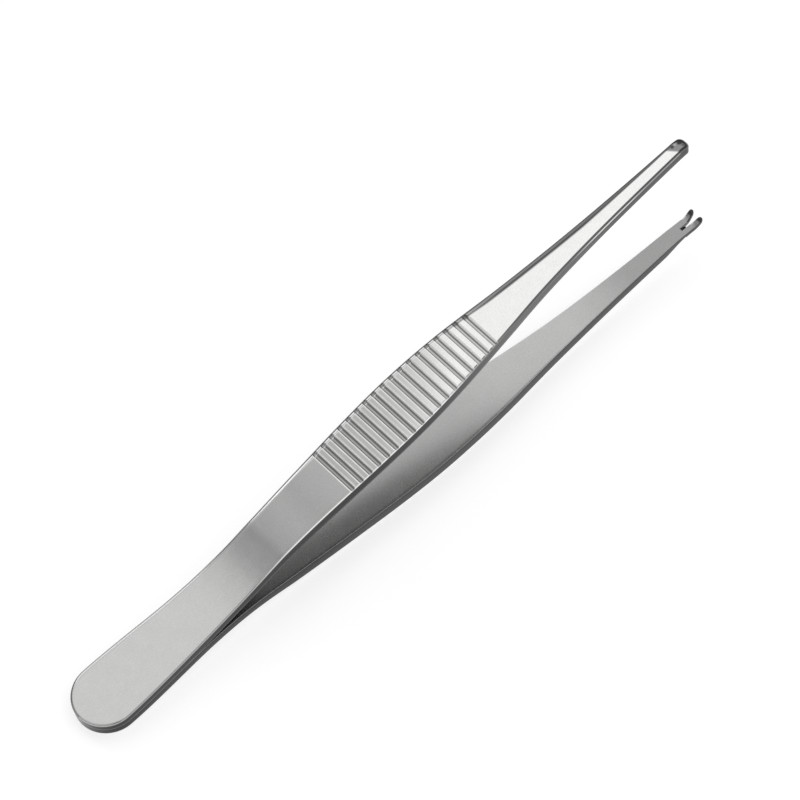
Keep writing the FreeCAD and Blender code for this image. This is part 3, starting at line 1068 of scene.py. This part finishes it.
@dataclass(frozen=True)
class Prong:
    """One finger of the fork: sizes at evenly spaced stations from its root to its rounded end.

    The outside and the inside are distances from the fork's middle, and the rise is how far the finger
    stands out from the joining face. The squareness is 2 for an oval section and more for a squarer one.
    """

    start: float = 4.0
    end: float = -0.08
    middle: float = -0.3
    outside: tuple[float, ...] = (1.36, 1.40, 1.44, 1.50, 1.55, 1.56)
    inside: tuple[float, ...] = (0.20, 0.24, 0.30, 0.40, 0.56, 0.70)
    rise: tuple[float, ...] = (-0.04, -0.01, 0.0, 0.12, 0.42, 0.68)
    thickness: tuple[float, ...] = (1.25, 1.2, 1.2, 1.2, 1.15, 0.9)
    squareness: float = 4.25
    cap_margin: float = 0.1
    least_share: float = 0.001
    rings: int = 34
    ring_crowding: float = 1.6
    turns: int = 28

    def build(self, length: float, level: Curve, side: Side) -> bpy.types.Object:
        """Makes the finger as a closed mesh.

        Args:
            length: The arm's length.
            level: Height of the joining face as a function of station.
            side: The side that the finger is on.

        Returns:
            The finger.
        """
        shares = 1.0 - (1.0 - np.linspace(0.0, 1.0, self.rings)) ** self.ring_crowding
        points = [point for share in shares for point in self.ring(share, length, level, side)]
        ends = [tuple(range(self.turns)), tuple(range(len(points) - self.turns, len(points)))]
        return solid("prong", points, ends + tube_faces(self.rings, self.turns))

    def ring(self, share: float, length: float, level: Curve, side: Side) -> list[Place]:
        """Gives the points of one section.

        Args:
            share: How far along the finger the section is.
            length: The arm's length.
            level: Height of the joining face as a function of station.
            side: The side that the finger is on.

        Returns:
            Points in the arm's own frame.
        """
        run = self.start - self.end
        station = length - self.start + share * run
        rows = (self.outside, self.inside, self.rise, self.thickness)
        outside, inside, rise, thickness = (smooth_row(share, row) for row in rows)
        cap = (self.outside[-1] - self.inside[-1]) / 2 + self.cap_margin
        beyond = 1.0 - min((1.0 - share) * run / cap, 1.0)
        shrink = max(math.sqrt(1.0 - beyond ** 2), self.least_share)
        centre = (outside + inside) / 2
        height = float(level(min(station, length))) - rise + thickness / 2
        half_width, half_height = (outside - inside) / 2 * shrink, thickness / 2 * shrink
        power = 2.0 / self.squareness
        points = []
        for turn in np.linspace(0.0, 2 * math.pi, self.turns, endpoint=False):
            across = math.copysign(abs(math.cos(turn)) ** power, math.cos(turn))
            up = math.copysign(abs(math.sin(turn)) ** power, math.sin(turn))
            offset = side.value * (centre + half_width * across)
            points.append((station, self.middle + offset, height + half_height * up))
        return points


@dataclass(frozen=True)
class Pit:
    """The pit that leads into the gap between the fork's fingers."""

    run: float = 2.0
    half: float = 0.34
    middle: float = -0.35
    overlap: float = 0.1
    front_gap: float = 0.4
    mouth_gap: float = 2.0
    depth: float = 1.3
    rear_run: float = 0.3
    rear_depth: float = 0.5
    rear_gap: float = 0.1

    def cutter(self, body_end: float, level: float) -> bpy.types.Object:
        """Makes the tool that cuts the pit.

        Args:
            body_end: Station where the arm's plain body ends.
            level: Height of the joining face at the tip.

        Returns:
            The tool.
        """
        end = body_end + self.overlap
        start = end - self.run
        front = end + self.front_gap
        profile = [
            (start, level - self.mouth_gap), (front, level - self.mouth_gap), (front, level + self.depth),
            (start + self.rear_run, level + self.rear_depth), (start, level - self.rear_gap),
        ]
        return extruded("pit", profile, (self.middle - self.half, self.middle + self.half))


@dataclass(frozen=True)
class Fork(Tip):
    """A tip with two rounded fingers and a pit between their roots, with painted shade inside and at the
    fingers' ends.
    """

    body_cut: float = 2.1
    prong: Prong = Prong()
    pit: Pit = Pit()
    # Sizes of the painted shade: black in the pit, dark on the fingers' sides that face the gap, and dark at
    # their ends.
    pit_margin: float = 0.02
    pit_front: float = 0.3
    pit_shade: float = 0.12
    inside_share: float = 0.85
    inside_facing: Span = (0.35, 0.75)
    inside_backs: Span = (2.1, 1.6)
    end_share: float = 0.92
    end_slant: float = 0.1
    end_backs: Span = (1.15, 0.8)

    def rim_start(self, shape: ArmShape) -> float:
        """Gives the station where the tip's own zones start."""
        return shape.length - self.region

    def form(self, piece: bpy.types.Object, shape: ArmShape, joining: Curve) -> None:
        """Joins the fingers to the arm and cuts the pit.

        Args:
            piece: The arm in its own frame.
            shape: The arm's sizes.
            joining: Height of the joining face as a function of station.
        """
        for side in Side:
            combine(piece, self.prong.build(shape.length, joining, side), Tool.JOIN)
        combine(piece, self.pit.cutter(self.body_end(shape), shape.tip_rise), Tool.CUT)

    def darkness(self, spot: Vector, normal: Vector, shape: ArmShape, joining: Curve) -> float:
        """Gives how dark the fork's painted shade is: black in the pit, dark between the fingers and at their
        ends.

        Args:
            spot: The point, in the arm's own frame.
            normal: The way that it faces.
            shape: The arm's sizes.
            joining: Height of the joining face as a function of station.

        Returns:
            The share of the tip's dark tone.
        """
        u, v, height = spot
        v -= self.pit.middle
        depth = height - float(joining(min(u, shape.length - shape.tooth_run)))
        between = abs(v) < self.pit.half + self.pit_margin and u < self.body_end(shape) + self.pit_front
        # Painted shade: black deep in the pit.
        if between and depth > self.pit_shade:
            return 1.0
        # Painted shade on the fingers' sides that face the gap, and at their ends.
        start, full = (shape.length - back for back in self.inside_backs)
        inward = soft_step(-normal.y * math.copysign(1.0, v), *self.inside_facing)
        inside = self.inside_share * inward * soft_step(u, start, full)
        start, full = (shape.length - back for back in self.end_backs)
        return max(inside, self.end_share * soft_step(u + self.end_slant * v, start, full))


@dataclass(frozen=True)
class RingPoint:
    """A point of an arm's ring: station, place across, height and zones."""

    u: float
    v: float
    w: float
    drop: float
    rim: float
    inner: float


@dataclass(frozen=True)
class RingPlan:
    """How closely an arm's rings and their points lie.

    The steps and the clear stretches between them are in millimetres, and the rest are counts.
    """

    shank_step: float = 0.5
    bend_step: float = 0.125
    taper_step: float = 0.45
    nose_step: float = 0.15
    bend_before: float = 5.0
    bend_after: float = 2.0
    bend_clear: Span = (0.1, 0.4)
    grip_clear: float = 0.3
    nose_run: float = 3.0
    nose_clear: float = 0.2
    end_clear: float = 0.05
    heel_rings: int = 26
    nose_rings: int = 12
    outline_samples: int = 4000
    rim_points: int = 9
    wall_points: int = 3
    foot_points: int = 4
    face_points: int = 18

    def side_points(self) -> int:
        """Gives how many points each side of a ring has."""
        return self.rim_points + self.wall_points + self.foot_points

    def stations(self, shape: ArmShape, grooves: GrooveRule, nose_start: float) -> np.ndarray:
        """Gives the stations of the rings between the heel's arc and the nose's arc.

        Args:
            shape: The arm's sizes.
            grooves: The rule of its grooves.
            nose_start: Station where the nose's arc in plan starts.

        Returns:
            Stations in order.
        """
        grip_start, grip_end = grooves.reach(shape)
        bend = np.arange(shape.crease - self.bend_before, shape.crease + self.bend_after, self.bend_step)
        rear = np.arange(shape.heel_radius, bend[0] - self.bend_clear[0], self.shank_step)
        shank = np.arange(bend[-1] + self.bend_clear[1], grip_start - self.grip_clear, self.shank_step)
        taper = np.arange(grip_end + self.grip_clear, nose_start - self.nose_run, self.taper_step)
        nose = np.arange(taper[-1] + self.nose_clear, nose_start - self.end_clear, self.nose_step)
        return np.concatenate([rear, bend, shank, grooves.stations(shape), taper, nose])


@dataclass
class Arm:
    """One sprung arm with its rounded outer edges, cross grooves and tip.

    The side drop tells the groove tree that a point lies deeper than any groove. The inner spread is how
    quickly the joining face's zone fills as its edge turns into it.
    """

    name: str
    node: str
    tip: Tip
    finish: SteelFinish
    tip_width: float
    nose_radius: float
    mirrored: bool
    edges: dict[Side, RoundedEdge]
    shape: ArmShape = field(default_factory=ArmShape)
    grooves: GrooveRule = field(default_factory=GrooveRule)
    plan: RingPlan = field(default_factory=RingPlan)
    inner_edge: float = 0.06
    inner_spread: float = 1.3
    inner_facing: Span = (0.3, 0.7)
    side_drop: float = 0.8
    merge_distance: float = 0.002
    least_edge: float = 0.0005
    joining: Curve = field(init=False)
    outer: Curve = field(init=False)

    def __post_init__(self) -> None:
        """Keeps the two faces' lines, which many points need."""
        self.joining = self.shape.height(Face.JOINING)
        self.outer = self.shape.height(Face.OUTER)

    def build(self) -> bpy.types.Object:
        """Builds the arm's mesh in its own frame, lays it down and dresses it.

        Returns:
            The finished arm.
        """
        material = self.finish.material()
        mesh = self.blank()
        mesh.materials.append(material)
        piece = linked(self.name, mesh)
        self.cut_grooves(piece, material)
        self.tip.form(piece, self.shape, self.joining)
        self.zone_tip(piece.data)
        self.lay_down(piece)
        for polygon in piece.data.polygons:
            polygon.use_smooth = True
        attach(piece, "root")
        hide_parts(self.node)
        LOG.info("%s: %d faces", self.name, len(piece.data.polygons))
        return piece

    def outline(self) -> np.ndarray:
        """Gives the left side in plan with its outward direction.

        Returns:
            Rows of station, half width, and the two parts of the outward direction.
        """
        shape, radius = self.shape, self.shape.heel_radius
        turns = np.linspace(0.0, QUARTER_TURN, self.plan.heel_rings)[:-1]
        heel = [radius * (1 - np.cos(turns)), radius * np.sin(turns), -np.cos(turns), np.sin(turns)]
        nose_start = self.tip.body_end(shape) - self.nose_radius
        poles = [(radius, radius), (radius + shape.heel_lead, radius)]
        poles += [(station, width / 2) for station, width in shape.widths]
        poles += [(nose_start - shape.tip_lead, self.tip_width / 2), (nose_start, self.tip_width / 2)]
        line = cubic_spline(poles, self.plan.outline_samples)
        stations = self.plan.stations(shape, self.grooves, nose_start)
        half = np.interp(stations, line[:, 0], line[:, 1])
        slope = np.interp(stations, line[:, 0], np.gradient(line[:, 1], line[:, 0]))
        size = np.hypot(1.0, slope)
        sides = [stations, half, -slope / size, 1 / size]
        flat = self.tip_width / 2 - self.nose_radius
        turns = np.linspace(0.0, QUARTER_TURN, self.plan.nose_rings)
        nose = [
            nose_start + self.nose_radius * np.sin(turns), flat + self.nose_radius * np.cos(turns),
            np.sin(turns), np.cos(turns),
        ]
        return np.concatenate([np.stack(part, axis=1) for part in (heel, sides, nose)])

    def side(self, row: np.ndarray, side: Side) -> list[RingPoint]:
        """Gives one side of a ring, from the outer face's edge round to the joining face's edge.

        Args:
            row: The outline there: station, half width and the two parts of its outward direction.
            side: Which side.

        Returns:
            Points with their zones.
        """
        station, half, lead, out = row
        reach, drop = self.edges[side].size(station)
        shift = read_row(self.shape.sway, station)
        under = self.shape.undercut * max(lead, 0.0) ** 2

        def spot(inset: float) -> Point:
            """Gives the point in plan that lies a distance inside the outline."""
            return station - lead * inset, side.value * max(half - out * inset, 0.0) - shift

        upper = []
        for angle in np.linspace(0.0, QUARTER_TURN, self.plan.rim_points + 1):
            u, v = spot(reach * (1 - math.sin(angle)))
            fall = drop * (1 - math.cos(angle))
            upper.append(RingPoint(u, v, float(self.outer(u)) - fall, fall, angle / QUARTER_TURN, 0.0))
        lower = []
        for angle in np.linspace(QUARTER_TURN, 0.0, self.plan.foot_points):
            u, v = spot(self.inner_edge * (1 - math.sin(angle)) + under)
            height = float(self.joining(u)) + self.inner_edge * (1 - math.cos(angle))
            inner = min(self.inner_spread * math.cos(angle), 1.0)
            lower.append(RingPoint(u, v, height, self.side_drop, 1.0, inner))
        high, low = upper[-1], lower[0]
        wall = []
        for share in (step / self.plan.wall_points for step in range(1, self.plan.wall_points)):
            u, v = high.u + (low.u - high.u) * share, high.v + (low.v - high.v) * share
            wall.append(RingPoint(u, v, high.w + (low.w - high.w) * share, self.side_drop, 1.0, 0.0))
        return upper + wall + lower

    def ring(self, row: np.ndarray) -> list[RingPoint]:
        """Gives a whole ring: the left side upwards, the outer face, the right side and the joining face.

        Args:
            row: The outline there: station, half width and the two parts of its outward direction.

        Returns:
            Points with their zones.
        """
        left, right = self.side(row, Side.LEFT), self.side(row, Side.RIGHT)
        shares = np.linspace(0.0, 1.0, self.plan.face_points + 1)[1:-1]
        top = []
        for share in shares:
            u = left[0].u + (right[0].u - left[0].u) * share
            v = left[0].v + (right[0].v - left[0].v) * share
            top.append(RingPoint(u, v, float(self.outer(u)), 0.0, 0.0, 0.0))
        foot = right[-1]
        bottom = [replace(foot, v=foot.v + (left[-1].v - foot.v) * share) for share in shares]
        return left[::-1] + top + right + bottom

    def blank(self) -> bpy.types.Mesh:
        """Builds the ungrooved arm as rings that follow the outline.

        Returns:
            A closed mesh with the zone attributes.
        """
        rings = [self.ring(row) for row in self.outline()]
        count = len(rings[0])
        faces = tube_faces(len(rings), count) + self.end_faces(count * (len(rings) - 1))
        points = [point for ring in rings for point in ring]
        mesh = bpy.data.meshes.new(self.name)
        mesh.from_pydata([(point.u, point.v, point.w) for point in points], [], faces)
        zones = {
            Zone.STATION: [point.u / STATION_SPAN for point in points],
            Zone.ACROSS: [point.v / self.shape.heel_radius for point in points],
            Zone.RIM: [point.rim for point in points],
            Zone.INNER: [point.inner for point in points],
            Zone.DROP: [point.drop for point in points],
            Zone.TIP: [0.0] * len(points),
        }
        for zone, values in zones.items():
            attribute = mesh.attributes.new(zone.value, "FLOAT", "POINT")
            attribute.data.foreach_set("value", np.array(values, np.float32))
        self.close(mesh)
        return mesh

    def end_faces(self, first: int) -> list[tuple[int, ...]]:
        """Closes the last ring with strips from its left to its right side.

        Args:
            first: Number of the last ring's first point.

        Returns:
            Faces, as numbers of points.
        """
        rows, across = self.plan.side_points(), self.plan.face_points - 1
        left = [first + rows - 1 - row for row in range(rows)]
        right = [first + rows + across + row for row in range(rows)]
        top = [first + rows + step for step in range(across)]
        foot = [first + 2 * rows + across + step for step in range(across)]
        faces = [(left[row], right[row], right[row + 1], left[row + 1]) for row in range(1, rows - 2)]
        faces.append((left[0], *top, right[0], right[1], left[1]))
        faces.append((left[-2], right[-2], right[-1], *foot, left[-1]))
        return faces

    def close(self, mesh: bpy.types.Mesh) -> None:
        """Merges the points that meet at the heel and the nose, and turns the faces outwards.

        Args:
            mesh: The arm's rings and their faces.
        """
        work = bmesh.new()
        work.from_mesh(mesh)
        bmesh.ops.remove_doubles(work, verts=work.verts[:], dist=self.merge_distance)
        bmesh.ops.dissolve_degenerate(work, edges=work.edges[:], dist=self.least_edge)
        bmesh.ops.recalc_face_normals(work, faces=work.faces[:])
        work.to_mesh(mesh)
        work.free()

    def cut_grooves(self, piece: bpy.types.Object, material: bpy.types.Material) -> None:
        """Presses the cross grooves into the outer face with a node tree and applies it.

        Args:
            piece: The ungrooved arm.
            material: The arm's finish.
        """
        tree = self.grooves.tree(f"grooves_{self.finish.name}", material)
        modifier = piece.modifiers.new("Grooves", "NODES")
        modifier.node_group = tree
        values = self.grooves.inputs(self.shape)
        for item in tree.interface.items_tree:
            if item.item_type == "SOCKET" and item.in_out == "INPUT" and item.name in values:
                modifier[item.identifier] = values[item.name]
        take_result(piece)

    def zone_tip(self, mesh: bpy.types.Mesh) -> None:
        """Sets the zones of the points at the tip from the way that they face.

        Args:
            mesh: The arm in its own frame, with its tip.
        """
        shape = self.shape
        zones = {zone: mesh.attributes[zone.value].data for zone in Zone}
        for vertex in mesh.vertices:
            spot, facing = vertex.co, vertex.normal.z
            if spot.x < shape.length - self.tip.region:
                continue
            values = {
                Zone.STATION: spot.x / STATION_SPAN,
                Zone.ACROSS: spot.y / shape.heel_radius,
                Zone.INNER: soft_step(-facing, *self.inner_facing),
                Zone.TIP: self.tip.darkness(spot, vertex.normal, shape, self.joining),
            }
            # At the nose the rim zone follows the way the surface faces, so the painted edge highlights and
            # shade follow its curve.
            if spot.x >= self.tip.rim_start(shape):
                values[Zone.RIM] = math.acos(min(max(facing, 0.0), 1.0)) / QUARTER_TURN
            for zone, value in values.items():
                zones[zone][vertex.index].value = value

    def lay_down(self, piece: bpy.types.Object) -> None:
        """Turns the arm's mesh to its place on the table, in metres.

        Args:
            piece: The arm in its own frame.
        """
        tilt = self.shape.rest_tilt()
        low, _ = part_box("two_tooth_arm")
        lift = low.z + self.shape.heel_thickness * MM * math.cos(tilt)
        place = Matrix.Translation((low.x, 0.0, lift)) @ Matrix.Rotation(-tilt, 4, "Y") @ Matrix.Scale(MM, 4)
        if self.mirrored:
            place = place @ Matrix.Diagonal((1.0, 1.0, -1.0, 1.0))
        piece.data.transform(place)
        if self.mirrored:
            piece.data.flip_normals()


def upper_arm() -> Arm:
    """Gives the arm with the single tooth, whose far edge is wider than its near one.

    Returns:
        The arm, not built yet.
    """
    left = RoundedEdge(
        reach=((0.0, 0.42), (5.0, 0.9), (34.0, 0.95), (44.0, 1.1), (88.0, 1.15), (97.0, 1.6), (118.0, 1.6),
               (126.0, 1.25), (134.0, 0.95), (138.5, 0.75), (141.3, 0.6)),
        drop=((0.0, 0.5), (5.0, 0.3), (34.0, 0.35), (44.0, 0.85), (88.0, 0.85), (98.0, 0.7), (141.3, 0.6)),
    )
    right = RoundedEdge(
        reach=((0.0, 0.42), (34.0, 0.42), (44.0, 0.35), (120.0, 0.45), (138.5, 0.45), (141.3, 0.6)),
        drop=((0.0, 0.5), (34.0, 0.6), (44.0, 0.7), (120.0, 0.9), (138.5, 0.8), (141.3, 0.6)),
    )
    shape = ArmShape(
        length=141.3, neck=Section(108.0, 9.95, 2.45), throat=Section(134.0, 10.75, 2.32),
        tip_rise=10.85, undercut=0.32, nose=((2.4, 2.42), (1.1, 2.42), (0.0, 1.8), (0.0, 1.1)),
        widths=((22.0, 10.3), (38.0, 9.0), (55.0, 10.1), (75.0, 12.0),
                (91.0, 9.3), (103.0, 5.85), (120.0, 3.6), (134.0, 2.75)),
        sway=((0.0, 0.0), (88.0, 0.0), (98.0, 0.15), (112.0, 0.15), (124.0, 0.1), (141.3, 0.05)),
    )
    return Arm(
        name="single_tooth_arm_finished", node="single_tooth_arm", tip=SingleTooth(),
        # The upper arm's joining face faces down into the gap and gets a darker painted shade than the lower
        # arm's.
        finish=SteelFinish("satin_steel_upper", inner_tones=((0.0, 0.25), (140.0, 0.25))),
        tip_width=2.5, nose_radius=1.1, mirrored=False,
        edges={Side.LEFT: left, Side.RIGHT: right}, shape=shape,
    )


def lower_arm() -> Arm:
    """Gives the arm with the fork, whose joining face is the one that is seen.

    Returns:
        The arm, not built yet.
    """
    edge = RoundedEdge(reach=((0.0, 0.4), (140.0, 0.45)), drop=((0.0, 0.4), (140.0, 0.45)))
    shape = ArmShape(
        neck=Section(108.0, 10.05, 2.5), throat=Section(127.0, 10.8, 2.3),
        nose=((9.0, 1.85), (6.5, 1.6), (4.5, 0.85), (0.0, 0.7)),
        widths=((22.0, 10.3), (38.0, 9.0), (55.0, 10.2), (75.0, 12.0),
                (91.0, 9.5), (103.0, 6.1), (120.0, 3.85), (134.0, 2.9)),
        sway=((0.0, 0.0), (82.0, 0.0), (94.0, 0.15), (126.0, 0.18), (134.0, 0.16), (137.5, 0.28),
              (140.0, 0.3)),
    )
    # Painted shade on the lower arm's sides.
    side_tones = ((0.0, 0.03), (50.0, 0.04), (60.0, 0.06), (140.0, 0.07))
    return Arm(
        name="two_tooth_arm_finished", node="two_tooth_arm", tip=Fork(),
        finish=SteelFinish("satin_steel_lower", side_tones=side_tones),
        tip_width=2.85, nose_radius=0.7, mirrored=True,
        edges={Side.LEFT: edge, Side.RIGHT: edge}, shape=shape,
    )


@dataclass
class Forceps:
    """The pair of arms, welded at the heel."""

    upper: Arm = field(default_factory=upper_arm)
    lower: Arm = field(default_factory=lower_arm)

    def build(self) -> list[bpy.types.Object]:
        """Builds both arms."""
        return [self.upper.build(), self.lower.build()]


@dataclass(frozen=True)
class Studio:
    """White floor, soft overhead light and the camera of the photograph.

    The fades of the sky are parts of the direction that it is seen in: up for the horizon, and towards
    the heel for the darker band on that side.
    """

    target: Place = (0.00562, 0.00362, 0.01298)
    distance: float = 1.068
    azimuth: float = math.radians(-125.015)
    elevation: float = math.radians(57.606)
    roll: float = math.radians(8.05)
    lens: float = 285.44
    sensor: float = 36.0
    clip_start: float = 0.05
    floor_size: float = 6.0
    floor_colour: float = 0.5
    floor_glow: float = 0.66
    sky_top: float = 1.14
    sky_low: float = 0.55
    horizon_fade: Span = (0.25, 0.75)
    band_low: float = 0.45
    band_far_fade: Span = (-0.62, -0.45)
    band_near_fade: Span = (-0.42, -0.08)
    lamp_spot: Place = (0.15, 1.05, 0.55)
    lamp_size: float = 0.6
    lamp_power: float = 2.0

    def build(self) -> None:
        """Makes the floor, the sky, the lamp and the camera."""
        self.make_floor()
        self.make_sky()
        self.make_lamp()
        self.make_camera()

    def make_floor(self) -> None:
        """Makes a plain white floor, which the camera and reflections see as white."""
        half = self.floor_size / 2
        mesh = bpy.data.meshes.new("floor")
        corners = [(-half, -half, 0.0), (half, -half, 0.0), (half, half, 0.0), (-half, half, 0.0)]
        mesh.from_pydata(corners, [], [(0, 1, 2, 3)])
        material = bpy.data.materials.new("white_floor")
        material.use_nodes = True
        material.node_tree.nodes.clear()
        nodes = NodeSketch(material.node_tree)
        white = (self.floor_colour, self.floor_colour, self.floor_colour, 1.0)
        paint = nodes.add("ShaderNodeBsdfDiffuse", {"Color": white}).outputs[0]
        rays = nodes.add("ShaderNodeLightPath").outputs
        seen = nodes.math("MAXIMUM", rays["Is Camera Ray"], rays["Is Glossy Ray"])
        seen = nodes.math("MAXIMUM", seen, rays["Is Transmission Ray"])
        strength = nodes.math("MULTIPLY", seen, self.floor_glow)
        glow = nodes.add("ShaderNodeEmission", {"Strength": strength}).outputs[0]
        surface = nodes.add("ShaderNodeAddShader", {0: paint, 1: glow}).outputs[0]
        nodes.add("ShaderNodeOutputMaterial", {"Surface": surface})
        mesh.materials.append(material)
        floor = linked("floor", mesh)

    def make_sky(self) -> None:
        """Makes a soft sky, light overhead, darker towards the horizon and in a band over the heel's side."""
        world = bpy.data.worlds.new("studio")
        bpy.context.scene.world = world
        world.use_nodes = True
        world.node_tree.nodes.clear()
        nodes = NodeSketch(world.node_tree)
        direction = nodes.add("ShaderNodeTexCoord").outputs["Generated"]
        axes = nodes.add("ShaderNodeSeparateXYZ", {0: direction}).outputs
        height = nodes.ramp(axes[2], self.horizon_fade, self.sky_low, self.sky_top)
        near = nodes.ramp(axes[0], self.band_near_fade, self.band_low, 1.0)
        far = nodes.ramp(axes[0], self.band_far_fade, 1.0, self.band_low)
        strength = nodes.math("MULTIPLY", height, nodes.math("MAXIMUM", near, far))
        light = nodes.add("ShaderNodeBackground", {"Strength": strength}).outputs[0]
        nodes.add("ShaderNodeOutputWorld", {"Surface": light})

    def make_lamp(self) -> None:
        """Hangs one large soft lamp over the far side, towards the tips."""
        data = bpy.data.lights.new("soft_lamp", "AREA")
        data.shape = "SQUARE"
        data.size = self.lamp_size
        data.energy = self.lamp_power
        lamp = linked("soft_lamp", data)
        spot = Vector(self.lamp_spot)
        lamp.matrix_world = Matrix.Translation(spot) @ spot.to_track_quat("Z", "Y").to_matrix().to_4x4()

    def make_camera(self) -> None:
        """Sets the camera at the photograph's angle."""
        data = bpy.data.cameras.new("camera")
        data.lens = self.lens
        data.sensor_width = self.sensor
        data.clip_start = self.clip_start
        camera = linked("camera", data)
        toward = Vector((
            math.cos(self.elevation) * math.cos(self.azimuth),
            math.cos(self.elevation) * math.sin(self.azimuth),
            math.sin(self.elevation),
        ))
        spot = Vector(self.target) + toward * self.distance
        turn = toward.to_track_quat("Z", "Y").to_matrix().to_4x4() @ Matrix.Rotation(-self.roll, 4, "Z")
        camera.matrix_world = Matrix.Translation(spot) @ turn
        bpy.context.scene.camera = camera


def main() -> None:
    """Builds the forceps and the studio."""
    logging.basicConfig(level=logging.INFO, format="%(name)s %(message)s")
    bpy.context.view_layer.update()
    bpy.context.scene.view_settings.view_transform = "Standard"
    for piece in Forceps().build():
        LOG.info("made %s", piece.name)
    Studio().build()


if __name__ == "__main__":
    main()
